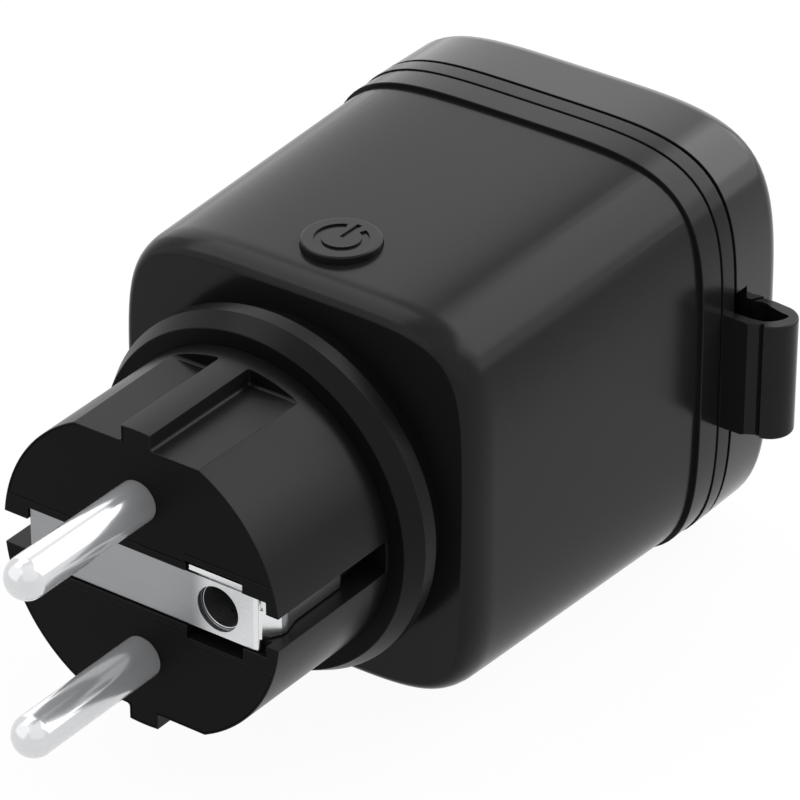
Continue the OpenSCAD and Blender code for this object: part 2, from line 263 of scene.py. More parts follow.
def finishPiece(piece, body, material, slotName, *stoodFor, smooth=30):
    selectOnly(piece)
    piece.data.materials.clear()
    piece.data.materials.append(material)
    bpy.ops.object.shade_smooth_by_angle(angle=math.radians(smooth))
    # broad flats keep their own direction beside the small rounded edges
    step = piece.modifiers.new("flats", "WEIGHTED_NORMAL")
    step.keep_sharp = True
    bpy.ops.object.modifier_apply(modifier=step.name)
    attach(piece, body)
    if stoodFor:
        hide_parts(*stoodFor)
    print("made", piece.name, len(piece.data.polygons), "faces")
    return piece


def secondFinish(piece, material, test):
    # gives the faces that pass the test another finish
    piece.data.materials.append(material)
    for face in piece.data.polygons:
        if test(face):
            face.material_index = len(piece.data.materials) - 1


def facesFront(face):
    return face.normal.y < -0.97


# materials

def startMaterial(name):
    # an empty material, its node tree and the object's own coordinates
    material = bpy.data.materials.new(name)
    material.use_nodes = True
    tree = material.node_tree
    tree.nodes.clear()
    return material, tree, addNode(tree, "ShaderNodeTexCoord").outputs["Object"]


def addNoise(tree, sizeMm, place, detail, roughness=0.5):
    settings = {"Scale": 1 / (sizeMm * mm), "Detail": detail, "Roughness": roughness}
    return addNode(tree, "ShaderNodeTexNoise", settings, {"Vector": place}).outputs["Fac"]


def addBlend(tree, share, colour, colourTo):
    # from the first colour, which may be a link, to the second one
    blend = addNode(tree, "ShaderNodeMix", {"data_type": "RGBA"}, {"Factor": share})
    if isinstance(colour, str):
        blend.inputs[6].default_value = toLinear(colour)
    else:
        tree.links.new(colour, blend.inputs[6])
    blend.inputs[7].default_value = toLinear(colourTo)
    return blend.outputs[2]


def addGloss(tree, pattern, look):
    # the roughness swings about its middle with the pattern
    middle, swing = look["roughness"], look["roughnessSwing"]
    settings = {"From Min": 0.3, "From Max": 0.7, "To Min": middle - swing, "To Max": middle + swing}
    return addNode(tree, "ShaderNodeMapRange", settings, {"Value": pattern}).outputs["Result"]


def addDents(tree, height, strength, depthMm):
    settings = {"Strength": strength, "Distance": depthMm * mm}
    return addNode(tree, "ShaderNodeBump", settings, {"Height": height}).outputs["Normal"]


def addSurface(tree, settings, links):
    surface = addNode(tree, "ShaderNodeBsdfPrincipled", settings, links)
    addNode(tree, "ShaderNodeOutputMaterial", None, {"Surface": surface.outputs["BSDF"]})


def plasticFinish(name, look):
    # moulded plastic or rubber: a dark body, uneven gloss and a fine spark grain from the tool
    material, tree, place = startMaterial(name)
    flow = addNoise(tree, look["flowMm"], place, 3.0)
    grain = addNoise(tree, look["grainMm"], place, 2.0, 0.6)
    addSurface(tree, {"IOR": look["ior"], "Specular IOR Level": look["specular"]}, {
        "Base Color": addBlend(tree, flow, look["colour"], look["colourTo"]),
        "Roughness": addGloss(tree, flow, look),
        "Normal": addDents(tree, grain, look["grainStrength"], look["grainDepthMm"])})
    return material


def metalFinish(name, look):
    # drawn or plated metal: long draw lines in the gloss, and slight darkening
    material, tree, place = startMaterial(name)
    stretched = addNode(tree, "ShaderNodeMapping", {"Scale": look["drawScale"]}, {"Vector": place})
    lines = addNoise(tree, look["lineMm"], stretched.outputs["Vector"], 4.0, 0.6)
    cloud = addNoise(tree, look["cloudMm"], place, 2.0)
    shade = addBlend(tree, cloud, look["colour"], look["colourTo"])
    if "paintedReflection" in look:
        # painted reflection: brighter past the two distances along X, standing in for a bright reflection on
        # that end of the strip
        parts = addNode(tree, "ShaderNodeSeparateXYZ", None, {"Vector": place})
        start, full = look["paintedReflectionMm"]
        along = addNode(tree, "ShaderNodeMapRange",
                        {"interpolation_type": "SMOOTHSTEP", "From Min": start * mm, "From Max": full * mm},
                        {"Value": parts.outputs["X"]})
        shade = addBlend(tree, along.outputs["Result"], shade, look["paintedReflection"])
    addSurface(tree, {"Metallic": look.get("metallic", 1.0)}, {
        "Base Color": shade, "Roughness": addGloss(tree, lines, look),
        "Normal": addDents(tree, lines, look["lineStrength"], 0.01)})
    return material


def maskFinish(name, look):
    # solder mask over woven glass: copper areas show a shade lighter under the mask
    material, tree, place = startMaterial(name)
    pads = {"distance": "CHEBYCHEV", "Scale": 1 / (look["padMm"] * mm), "Randomness": 0.8}
    copper = addNode(tree, "ShaderNodeTexVoronoi", pads, {"Vector": place}).outputs["Distance"]
    edge = addNode(tree, "ShaderNodeMapRange", {"From Min": 0.45, "From Max": 0.5}, {"Value": copper})
    threads = {"Scale": 1 / (look["weaveMm"] * mm), "Distortion": 0.3}
    weave = addNode(tree, "ShaderNodeTexWave", threads, {"Vector": place})
    addSurface(tree, {"Roughness": look["roughness"], "IOR": 1.5}, {
        "Base Color": addBlend(tree, edge.outputs["Result"], look["copper"], look["bare"]),
        "Normal": addDents(tree, weave.outputs["Fac"], 0.2, 0.02)})
    return material


# glass filled polycarbonate out of a fine sparked mould: deep satin black, clear reflections at low angles
caseBlack = plasticFinish("polycarbonate moulded satin black", {
    "colour": "#171718", "colourTo": "#1a1a1b", "flowMm": 14, "roughness": 0.2, "roughnessSwing": 0.02,
    "grainMm": 0.35, "grainStrength": 0.04, "grainDepthMm": 0.02, "ior": 1.5, "specular": 0.12})
# the same polycarbonate out of a polished mould: the cover mirrors about twice as much as the case
coverBlack = plasticFinish("polycarbonate moulded polished black", {
    "colour": "#171718", "colourTo": "#1a1a1b", "flowMm": 14, "roughness": 0.18, "roughnessSwing": 0.02,
    "grainMm": 0.35, "grainStrength": 0.03, "grainDepthMm": 0.02, "ior": 1.5, "specular": 0.28})
# polyamide, the usual plug material: a touch duller and greyer than the case
plugBlack = plasticFinish("polyamide moulded black", {
    "colour": "#121213", "colourTo": "#161616", "flowMm": 9, "roughness": 0.33, "roughnessSwing": 0.03,
    "grainMm": 0.3, "grainStrength": 0.05, "grainDepthMm": 0.02, "ior": 1.5, "specular": 0.11})
# the same polyamide where the mould was eroded rough, with a painted shade: a darker, less mirroring copy that
# goes on the faces that look forward
frontPaintedShadeBlack = plasticFinish("polyamide matt black with painted shade", {
    "colour": "#0d0d0e", "colourTo": "#101011", "flowMm": 9, "roughness": 0.4, "roughnessSwing": 0.03,
    "grainMm": 0.3, "grainStrength": 0.08, "grainDepthMm": 0.02, "ior": 1.5, "specular": 0.04})
# soft EPDM rubber: no clear reflection, only a broad sheen
sealBlack = plasticFinish("EPDM rubber moulded black", {
    "colour": "#0e0e0e", "colourTo": "#131313", "flowMm": 6, "roughness": 0.34, "roughnessSwing": 0.04,
    "grainMm": 0.25, "grainStrength": 0.08, "grainDepthMm": 0.02, "ior": 1.5, "specular": 0.08})
# brass under bright nickel: mirror like with faint draw lines along the pin
pinNickel = metalFinish("brass nickel plated bright", {
    "colour": "#d9dadc", "colourTo": "#d2d3d5", "drawScale": (1.0, 0.04, 1.0), "lineMm": 0.5, "cloudMm": 5,
    "metallic": 0.6, "roughness": 0.16, "roughnessSwing": 0.02, "lineStrength": 0.02})
# rolled spring strip: soft sheen with rolling lines, and a painted reflection that makes its right end bright
stripSteel = metalFinish("spring strip tin plated", {
    "colour": "#98999b", "colourTo": "#8f9092", "paintedReflection": "#d6d7d8", "paintedReflectionMm": (6.4, 9.2),
    "drawScale": (0.05, 1.0, 1.0), "lineMm": 0.4, "cloudMm": 6,
    "roughness": 0.3, "roughnessSwing": 0.04, "lineStrength": 0.03})
# the folds and sheared edges of the strip, with a painted highlight: a pale, glossier copy of the strip for the
# places that catch the light first
stripPaintedHighlight = metalFinish("spring strip painted highlight", {
    "colour": "#e4e5e6", "colourTo": "#dadbdc", "drawScale": (0.05, 1.0, 1.0), "lineMm": 0.4, "cloudMm": 6,
    "roughness": 0.22, "roughnessSwing": 0.03, "lineStrength": 0.02})
# the strip in the side grooves and inside the housing: an even mid grey, darker than the strip at the front
stripDull = metalFinish("spring strip dull", {
    "colour": "#8a8b8d", "colourTo": "#7e7f81", "drawScale": (1.0, 0.05, 1.0), "lineMm": 0.4, "cloudMm": 6,
    "roughness": 0.32, "roughnessSwing": 0.03, "lineStrength": 0.02})
# bare rolled brass: a warm yellow against the grey metals
contactBrass = metalFinish("brass rolled", {
    "colour": "#c9a463", "colourTo": "#b8924f", "drawScale": (1.0, 0.06, 1.0), "lineMm": 0.4, "cloudMm": 4,
    "roughness": 0.28, "roughnessSwing": 0.05, "lineStrength": 0.1})
# barrel plated zinc: cool grey with small cloudy spots
screwSteel = metalFinish("steel zinc plated", {
    "colour": "#c4c6c8", "colourTo": "#a9acaf", "drawScale": (1.0, 1.0, 1.0), "lineMm": 0.5, "cloudMm": 2,
    "roughness": 0.3, "roughnessSwing": 0.08, "lineStrength": 0.1})
# wire drawn through a die: fine lines and a bright streak on each turn
springWire = metalFinish("music wire drawn", {
    "colour": "#b9bbbd", "colourTo": "#9a9c9e", "drawScale": (1.0, 1.0, 0.2), "lineMm": 0.3, "cloudMm": 2,
    "roughness": 0.25, "roughnessSwing": 0.05, "lineStrength": 0.1})
# thin stamped tinplate: pale, with a soft broad shine
shieldTin = metalFinish("tinplate stamped", {
    "colour": "#cfd1d2", "colourTo": "#b5b7b8", "drawScale": (0.2, 1.0, 1.0), "lineMm": 0.6, "cloudMm": 4,
    "roughness": 0.32, "roughnessSwing": 0.06, "lineStrength": 0.1})
# lacquer over copper and glass cloth: green with paler copper and a faint weave
boardMask = maskFinish("FR4 with green solder mask", {
    "copper": "#1f5a3a", "bare": "#163f2a", "padMm": 2.5, "weaveMm": 0.5, "roughness": 0.35})
# the small parts on the boards differ in colour and gloss and share one fine grain
smallGrain = {"flowMm": 3, "roughnessSwing": 0.03, "grainMm": 0.2, "grainStrength": 0.1, "grainDepthMm": 0.02,
              "ior": 1.5, "specular": 0.5}
# CAD node: material, colours and roughness
smallPlastics = {
    "relay": ("PBT moulded blue", "#2457a0", "#2a60ae", 0.4),
    "storage_capacitor": ("PVC sleeve dark grey", "#26282c", "#303238", 0.3),
    "film_capacitor": ("polyester box amber", "#c98d2e", "#d39a3c", 0.35),
    "varistor": ("epoxy dipped blue", "#2b5f9e", "#3570b2", 0.25),
    "fuse_resistor": ("silicone coat grey green", "#76866f", "#86957e", 0.5),
    "choke": ("ferrite wound dark brown", "#3d2c1f", "#54402e", 0.55),
    "bridge_rectifier": ("epoxy moulded black", "#161618", "#202022", 0.5),
    "tact_switch": ("PA moulded dark", "#1a1a1c", "#242427", 0.4),
    "tact_plunger": ("POM moulded ivory", "#d8d6cc", "#e0ded6", 0.35),
    "status_led": ("epoxy cast clear", "#cfdbe4", "#dde6ec", 0.12)}
bareNodes = {}
for name, (title, colour, colourTo, roughness) in smallPlastics.items():
    look = {"colour": colour, "colourTo": colourTo, "roughness": roughness}
    bareNodes[name] = plasticFinish(title, {**smallGrain, **look})
bareNodes.update({
    "socket_insert": plugBlack, "body_gasket": sealBlack, "lid_gasket": sealBlack, "button_seal": sealBlack,
    "earth_tube": stripSteel, "earth_link": stripDull, "earth_clips": stripDull,
    "live_contact": contactBrass, "neutral_contact": contactBrass,
    "housing_screws": screwSteel, "board_screws": screwSteel, "hinge_pin": screwSteel,
    "hinge_spring": springWire,
    "main_board": boardMask, "control_board": boardMask, "wifi_module": shieldTin})
for name, material in bareNodes.items():
    node = nodes[name]
    node.data.materials.clear()
    node.data.materials.append(material)
    node.data.polygons.foreach_set("material_index", [0] * len(node.data.polygons))
print("materials ready")


# housing: tapered shell with a raised rear band

housing = {
    "frontY": 26.4, "bandY": 66.85, "endY": 70.4, "frontHalf": 23.43, "rearHalf": 24.9, "bandHalf": 25.4,
    "bodyCorner": 0.758, "cornerPull": 0.02, "bandCorner": 0.73, "bandEdge": 0.14, "rimEdge": 0.04,
    "frontRound": 1.75, "frontDepth": 4.0, "wallY": 29.0, "innerHalf": 21.2, "mouthY": 54.0, "mouthHalf": 22.7,
    "noseHole": 17.35, "buttonHole": 4.47, "buttonY": 35.2, "buttonFrom": 18, "buttonTo": 30}


def makeHousing(look):
    frontY, bandY = look["frontY"], look["bandY"]
    shell = softSquare(look["frontHalf"], frontY, bandY + overlap, look["bodyCorner"], name="housing_shell")
    editPiece(shell)
    pick(shell, "FACE", lambda f: f.calc_center_median().y > bandY * mm)
    taper = look["rearHalf"] / look["frontHalf"]
    bpy.ops.transform.resize(value=(taper, 1, taper))
    clearSelection()
    # the corners grow rounder towards the back, so the step to the band stays even
    for vertex in shell.data.vertices:
        if vertex.co.y > bandY * mm:
            reach = vertex.co.x * vertex.co.z / (look["rearHalf"] * mm) ** 2
            pull = 1 - look["cornerPull"] * reach ** 2
            vertex.co = (vertex.co.x * pull, vertex.co.y, vertex.co.z * pull)
    bevelRim(shell, look["frontRound"], 12, y=frontY)
    # the rounding runs further back along the sides than it cuts into the front
    editPiece(shell)
    pick(shell, "VERT", lambda v: v.co.y < (frontY + look["frontRound"] + 5 * near) * mm)
    stretch = look["frontDepth"] / look["frontRound"]
    bpy.ops.transform.resize(value=(1, stretch, 1), center_override=(0, frontY * mm, 0))
    clearSelection()
    band = softSquare(look["bandHalf"], bandY, look["endY"], look["bandCorner"], name="band")
    bevelRim(band, look["bandEdge"], 3, y=bandY)
    bevelRim(band, look["rimEdge"], 2, y=look["endY"])
    join(shell, band)
    cut(shell,
        softSquare(look["innerHalf"], look["wallY"], look["mouthY"] + overlap, look["bodyCorner"]),
        softSquare(look["mouthHalf"], look["mouthY"], look["endY"] + past, look["bodyCorner"]),
        rodAlongY(look["noseHole"], frontY - past, look["wallY"] + past, sides=128),
        rodAlongZ(look["buttonHole"], look["buttonFrom"], look["buttonTo"], y=look["buttonY"]))
    finishPiece(shell, "housing", caseBlack, "housing_black", "main_body", smooth=28)


makeHousing(housing)


# hinge ring: the narrow band behind the housing, with the hinge loop

ring = {
    "frontY": 70.6, "backY": 72.8, "half": 25.54, "corner": 0.73, "edge": 0.05, "opening": 21.3,
    "screwPlace": 17.6, "screwHole": 1.6, "headHole": 2.8, "headY": 71.3, "toolY": (69, 75),
    "hingeX": 29.9, "hingeY": 73.95, "loopRadius": 2.8, "loopTurn": (-80, 90),
    "loopHigh": 6.95, "loopLow": -7.3, "rimRound": 0.3, "rimX": 25.6,
    "sweepInner": 4.1, "tipTurn": (139.5, 158.5),
    "webLow": -4.7, "webHigh": 3.2, "topWeb": 1.2, "bottomWeb": 1.5,
    "roomX": 25.5, "roomY": (72.95, 79), "roomRadius": 2.1, "pinHole": 0.95, "pinZ": (-5.8, 9),
    "legX": 26.2, "legY": (72.27, 73.1), "legZ": (-1.9, -1.0),
    "opens": 110, "armY": (-1.2, 10.8), "armReach": 8,
    # outlines seen from above
    "nearWall": [(25.2, 72.6), (25.2, 70.8), (28.6, 70.8), (29.7, 71.43)],
    "farWall": [(28.6, 76.9), (27.2, 76.9)], "tipEnd": (27.2, 75.3),
    "seam": [(29.66, 70.6), (30.4, 70.6), (30.36, 71.2), (30.02, 71.85), (29.74, 71.5)], "seamZ": (-8, 8),
    # the uneven hollow at both ends of the loop
    "hollow": [(25.3, 72.0), (26.9, 71.95), (28.1, 71.95), (29.0, 72.06), (29.8, 72.25), (30.35, 72.65),
               (30.85, 73.2), (31.25, 73.9), (31.42, 74.6), (31.2, 74.95), (30.5, 75.0), (29.8, 75.15),
               (29.2, 75.3), (28.6, 75.45), (28.0, 75.72), (27.4, 75.78), (26.8, 75.6), (26.2, 75.35),
               (25.3, 75.3)]}


def swungGap(look):
    # the outline of the gap that the cover's arm swings into
    turn = math.radians(180 - look["opens"])
    x, y, (front, back), reach = look["hingeX"], look["hingeY"], look["armY"], look["armReach"]
    return [(x + u * math.cos(turn) - v * math.sin(turn), y + u * math.sin(turn) + v * math.cos(turn))
            for u, v in ((0, front), (reach, front), (reach, back), (0, back))]


def makeLoop(look):
    x, y, low, high = look["hingeX"], look["hingeY"], look["webLow"], look["webHigh"]
    barrel = roundCorner((x, y), look["loopRadius"], *look["loopTurn"], 17)
    tip = roundCorner((x, y), look["sweepInner"], *look["tipTurn"], 1)
    outline = look["nearWall"] + barrel + look["farWall"] + tip + [look["tipEnd"]]
    loop = drawOutline(outline, look["loopLow"], look["loopHigh"], "loop")

    def isRim(edge):
        a, b = edge.verts
        return (abs(a.co.z - b.co.z) < near * mm and min(a.co.x, b.co.x) > look["rimX"] * mm
                and edge.calc_face_angle(0) > 0.8)

    bevelEdges(loop, isRim, look["rimRound"], 4)
    cut(loop,
        drawOutline(look["seam"], *look["seamZ"]),
        drawOutline(look["hollow"], high + look["topWeb"], look["loopHigh"] + past),
        drawOutline(look["hollow"], look["loopLow"] - past, low - look["bottomWeb"]),
        box((look["roomX"], x), look["roomY"], (low, high)),
        rodAlongZ(look["roomRadius"], low, high, x, y),
        rodAlongZ(look["pinHole"], *look["pinZ"], x, y, sides=48),
        box((look["legX"], x), look["legY"], look["legZ"]),
        drawOutline(swungGap(look), low, high))
    return loop


def makeRing(look):
    piece = softSquare(look["half"], look["frontY"], look["backY"], look["corner"], name="hinge_band")
    bevelRim(piece, look["edge"], 2, y=look["frontY"])
    bevelRim(piece, look["edge"], 2, y=look["backY"])
    join(piece, makeLoop(look))
    front, back = look["toolY"]
    cut(piece, rodAlongY(look["opening"], front, back, sides=128))
    for x in (-look["screwPlace"], look["screwPlace"]):
        for z in (-look["screwPlace"], look["screwPlace"]):
            cut(piece, rodAlongY(look["screwHole"], front, back, x, z, sides=32),
                rodAlongY(look["headHole"], look["headY"], back, x, z, sides=48))
    finishPiece(piece, "housing", caseBlack, "housing_black", "hinge_ring", smooth=28)


makeRing(ring)


# cover: cap with a rounded back, hollow inside, and the hinge arm

cover = {
    "frontY": 73.3, "backY": 82.85, "half": 25.54, "corner": 0.73, "backRound": 2.8, "frontEdge": 0.08,
    "innerHalf": 23.3, "innerY": 80.3, "skirtOuter": 22.0, "skirtInner": 20.0, "skirtY": 74.9, "skirtJoin": 0.4,
    "gapX": (22.8, 27), "gapY": (72.0, 75.4), "gapHalf": 8.6, "armLow": -4.4, "armHigh": 2.9,
    "footX": (21.6, 25.1), "footY": (73.35, 78), "armX": (24.5, 27.6), "armY": (73.35, 74.85), "forkX": 27.5,
    "forkZ": (-2.3, 0.7), "knuckle": 1.8, "bore": 0.96, "boreZ": (-9, 9), "sweepOuter": 4.25,
    "sweepTurn": (157.5, 136.5), "rootStart": (25.0, 75.57),
    "rootEnd": [(26.05, 76.85), (25.6, 76.7), (25.3, 76.4), (25.0, 76.3)]}


def makeCover(look):
    piece = softSquare(look["half"], look["frontY"], look["backY"], look["corner"], name="rear_cover")
    bevelRim(piece, look["backRound"], 12, y=look["backY"])
    bevelRim(piece, look["frontEdge"], 3, y=look["frontY"])
    cut(piece,
        softSquare(look["innerHalf"], look["frontY"] - past, look["innerY"], look["corner"]),
        box(look["gapX"], look["gapY"], (-look["gapHalf"], look["gapHalf"])))
    skirt = rodAlongY(look["skirtOuter"], look["skirtY"], look["innerY"] + look["skirtJoin"], sides=128)
    cut(skirt, rodAlongY(look["skirtInner"], look["skirtY"] - overlap, look["innerY"], sides=128))
    join(piece, skirt)
    # the arm reaches into the loop and ends in a fork with two knuckles on the pin
    x, y = ring["hingeX"], ring["hingeY"]
    low, high = look["armLow"], look["armHigh"]
    tines = ((low, look["forkZ"][0]), (look["forkZ"][1], high))
    arm = box(look["footX"], look["footY"], (low, high), "arm")
    join(arm, box(look["armX"], look["armY"], (low, high)),
         *[box((look["forkX"], x), look["armY"], tine) for tine in tines],
         *[rodAlongZ(look["knuckle"], *tine, x, y, sides=64) for tine in tines])
    # the root that carries the loop's far wall on to the cover's side
    tail = roundCorner((x, y), look["sweepOuter"], *look["sweepTurn"], 8)
    root = drawOutline([look["rootStart"]] + tail + look["rootEnd"], ring["loopLow"], ring["loopHigh"], "root")
    join(piece, arm, root)
    cut(piece, rodAlongZ(look["bore"], *look["boreZ"], x, y, sides=48))
    finishPiece(piece, "cover", coverBlack, "housing_black", "lid", smooth=28)


makeCover(cover)


# pin plates: the two inset half plates of the plug face, with a hair line to the rim

plates = {"outer": 17.82, "flat": 15.94, "rib": 1.71, "frontY": 0.05, "backY": 1.95, "pocketY": (-1, 1.98),
          "gap": 0.07, "edge": 0.04, "inner": 4.25, "stepX": 6.1, "stepZ": 5.3, "pinPlace": 9.5, "pinHole": 2.4,
          "pinHoleY": (-1, 3), "toolX": 30, "toolY": (-5, 9)}


def facePlate(look, side, gap, frontY, backY):
    # one plate, smaller all round by the gap
    far, deep = look["toolX"], look["toolY"]

    def above(z):
        return sorted((side * z, side * far))

    plate = rodAlongY(look["outer"] - gap, frontY, backY, sides=192, name="plate")
    withTool(plate, box((-far, far), deep, above(look["inner"] + gap)), "INTERSECT")
    rib = look["rib"] - gap
    cut(plate,
        box((-far, -rib), deep, above(look["flat"] - gap)),
        box((rib, far), deep, above(look["flat"] - gap)),
        box((look["stepX"] - gap, far), deep, sorted((0, side * (look["stepZ"] + gap)))))
    return plate


def makePlates(look):
    upper, lower = [facePlate(look, side, look["gap"], look["frontY"], look["backY"]) for side in (1, -1)]
    join(upper, lower)
    softenEdges(upper, look["edge"])
    for z in (look["pinPlace"], -look["pinPlace"]):
        cut(upper, rodAlongY(look["pinHole"], *look["pinHoleY"], 0, z, sides=64))
    upper.name = "pin_plates"
    # painted shade: the whole plates take the darker copy of the polyamide
    finishPiece(upper, "housing", frontPaintedShadeBlack, "plug_black", "pin_carrier", smooth=28)


# plug nose: tapered round with two flats, key ribs, channel and grooves

nose = {
    "faceRadius": 18.0, "rootRadius": 18.12, "rootY": 18.84, "neck": 17.3, "neckJoin": 0.4, "endY": 30.2,
    "flat": 16.1, "flatTop": 21.1, "rib": 1.87, "flatX": 22, "frontY": -1, "wallY": 16.5, "footRound": 0.4,
    "edge": 0.06,
    # ranges along X, Y and Z: channel, its left end, room round the earth hole, right and left side groove
    "pockets": [((-14.8, 16.3), (-1, 1.1), (-3.35, 3.35)), ((-14.9, -13.9), (-1, 2.5), (-1.9, 1.9)),
                ((6.0, 13.3), (-1, 2.6), (-4.75, 4.6)), ((14.8, 20), (-1, 18.3), (-1.9, 1.9)),
                ((-20, -14.8), (-1, 18.3), (-1.9, 1.9))],
    # radius, x and z: the earth hole and the two pin holes
    "holes": [(3.0, 9.9, 0), (2.6, 0, 9.5), (2.6, 0, -9.5)], "holeY": (-1, 26)}


def cutFlat(piece, look, sx, sz):
    # the flat on one side of a key rib, with a round foot along the rib and the end wall
    ribX, flatZ, wallY = sx * look["rib"], sz * look["flat"], look["wallY"]
    across, up = sorted((ribX, sx * look["flatX"])), sorted((flatZ, sz * look["flatTop"]))
    tool = box(across, (look["frontY"], wallY), up)
    feet = ({"x": ribX, "z": flatZ}, {"x": ribX, "y": wallY}, {"y": wallY, "z": flatZ})
    bevelEdges(tool, lambda e: any(all(liesAt(v, **foot) for v in e.verts) for foot in feet),
               look["footRound"], 5)
    cut(piece, tool)


def makeNose(look):
    piece = rodAlongY(look["faceRadius"], 0, look["rootY"], backRadius=look["rootRadius"], sides=144,
                      name="plug_nose")
    for sx in (-1, 1):
        for sz in (-1, 1):
            cutFlat(piece, look, sx, sz)
    join(piece, rodAlongY(look["neck"], look["rootY"] - look["neckJoin"], look["endY"], sides=144))
    cut(piece, *[box(*ranges) for ranges in look["pockets"]],
        *[rodAlongY(radius, *look["holeY"], x, z, sides=64) for radius, x, z in look["holes"]],
        *[facePlate(plates, side, 0.0, *plates["pocketY"]) for side in (-1, 1)])
    softenEdges(piece, look["edge"], sharpest=20)
    finishPiece(piece, "housing", plugBlack, "plug_black", "plug_body", smooth=18)
    # painted shade: the faces that look forward take the darker copy of the polyamide
    secondFinish(piece, frontPaintedShadeBlack, facesFront)


makeNose(nose)
makePlates(plates)


# seal collar: flange with a front chamfer on a thinner neck, turned from (radius, y) points

collar = {"profile": [(17.36, 18.85), (19.9, 18.85), (20.0, 18.9), (21.0, 20.98), (21.06, 21.1), (21.06, 22.95),
                      (20.96, 23.15), (20.76, 23.3), (19.4, 23.3), (19.2, 23.5), (19.2, 26.38), (17.36, 26.38),
                      (17.36, 18.85)]}


def makeCollar(look):
    piece = spinProfile(look["profile"], steps=160, name="seal_flange")
    finishPiece(piece, "housing", sealBlack, "rubber_black", "seal_collar", smooth=25)
    # painted shade: the seal's faces that look forward take the darker polyamide copy
    secondFinish(piece, frontPaintedShadeBlack, facesFront)


makeCollar(collar)


# pins: round bars with domed ends, and a shank inside the plug

pin = {"radius": 2.4, "length": 20.0, "domeSteps": 14,
       "shank": [(2.3, 0.05), (2.3, 30.2), (3.2, 30.2), (3.2, 31.0), (1.1, 31.0), (1.1, 35.0), (0, 35.0)]}


def makePin(name, z, node, look):
    r, steps = look["radius"], look["domeSteps"]
    turns = [math.radians(90 * i / steps) for i in range(steps + 1)]
    dome = [(r * math.sin(t), -look["length"] + r - r * math.cos(t)) for t in turns]
    piece = spinProfile(dome + [(r, 0.0)] + look["shank"], z=z, steps=64, name=name)
    finishPiece(piece, "housing", pinNickel, "pin_metal", node, smooth=40)


makePin("upper_pin", plates["pinPlace"], "live_pin", pin)
makePin("lower_pin", -plates["pinPlace"], "neutral_pin", pin)


# earth strip: flat strip with a folded tab, a rolled end and side springs

strip = {
    "frontY": 0.3, "backY": 1.1, "left": -14.7, "lipX": 14.45, "half": 3.2, "arm": 1.75, "edge": 0.08,
    "holeX": 9.9, "hole": 2.6, "holeY": (-1, 3),
    # the right end is rolled back a little, seen from above
    "lip": [(14.2, 0.3), (14.45, 0.3), (15.0, 0.4), (15.15, 0.54), (15.15, 1.1), (14.2, 1.1)],
    "lipRound": 0.35, "lipRoundX": 15.1,
    # the spring leg at the right and the hooked one at the left, seen from above
    "spring": [(15.0, 0.5), (15.39, 0.5), (16.42, 2.5), (16.55, 3.1), (16.42, 3.7), (15.97, 5.4), (15.97, 13.0),
               (15.3, 14.2), (14.9, 13.9), (15.25, 12.9), (15.25, 5.3), (15.7, 3.6), (15.76, 3.1), (15.66, 2.7),
               (14.8, 1.04)],
    "hook": [(-14.7, 0.8), (-14.0, 0.8), (-14.0, 2.35), (-15.2, 2.35), (-15.2, 13), (-15.9, 13), (-15.9, 1.75),
             (-14.7, 1.75)],
    # ranges along X, Y and Z: the ear at the right end, and the fold and top of the tab
    "ear": ((14.6, 16.17), (0.75, 1.2), (1.3, 3.05)),
    "tab": [((7.0, 12.9), (0.9, 1.6), (3.05, 4.0)), ((6.25, 13.15), (0.3, 2.1), (3.45, 4.12))],
    # where the painted highlight and the darker strip behind it begin
    "dullY": 2.2, "brightX": 14.5, "brightZ": 3.3}


def makeStrip(look):
    half, arm, dullY = look["half"], look["arm"], look["dullY"] * mm
    piece = box((look["left"], look["lipX"]), (look["frontY"], look["backY"]), (-half, half), "earth_strip")
    lip = drawOutline(look["lip"], -half, half, "lip")
    bevelEdges(lip, lambda e: all(v.co.x > look["lipRoundX"] * mm for v in e.verts) and runsAlong(e, "y"),
               look["lipRound"], 5)
    join(piece, lip, box(*look["ear"]),
         drawOutline(look["spring"], -arm, arm), drawOutline(look["hook"], -arm, arm),
         *[box(*ranges) for ranges in look["tab"]])
    cut(piece, rodAlongY(look["hole"], *look["holeY"], look["holeX"], 0, sides=64))
    softenEdges(piece, look["edge"])
    # the strip finish paints a reflection on the right end of the strip, from 6.4 mm along X
    finishPiece(piece, "housing", stripSteel, "strap_metal", "earth_strap", smooth=28)
    # painted highlight: the front of the rolled right end and the top of the tab take the pale copy
    secondFinish(piece, stripPaintedHighlight, lambda f: f.center.y < dullY and (
        f.center.x > look["brightX"] * mm or f.center.z > look["brightZ"] * mm))
    secondFinish(piece, stripDull, lambda f: f.center.y > dullY)


makeStrip(strip)


# earth sleeve: takes the earth pin of the socket that the plug goes into, with a rolled front lip

sleeve = {"x": 9.9, "bore": 2.45, "lip": 2.6, "outer": 2.95, "frontY": 1.12, "floorY": 20.3, "endY": 21.3}


def makeSleeve(look):
    roll = (look["lip"] - look["bore"]) / 2
    middle = (look["lip"] + look["bore"]) / 2
    turns = [math.radians(a) for a in range(0, 181, 20)]
    rim = [(middle + roll * math.cos(t), look["frontY"] + roll - roll * math.sin(t)) for t in turns]
    outside = [(0, look["endY"]), (look["outer"], look["endY"]), (look["outer"], look["frontY"] + roll)]
    inside = [(look["bore"], look["floorY"]), (0, look["floorY"])]
    piece = spinProfile(outside + rim + inside, x=look["x"], steps=64, name="earth_sleeve")
    # the strip finish's painted reflection makes most of the sleeve bright, since it lies past 6.4 mm along X
    finishPiece(piece, "housing", stripSteel, "strap_metal", "earth_tube", smooth=35)


makeSleeve(sleeve)


# button: round cap with a bevelled rim and an engraved power sign

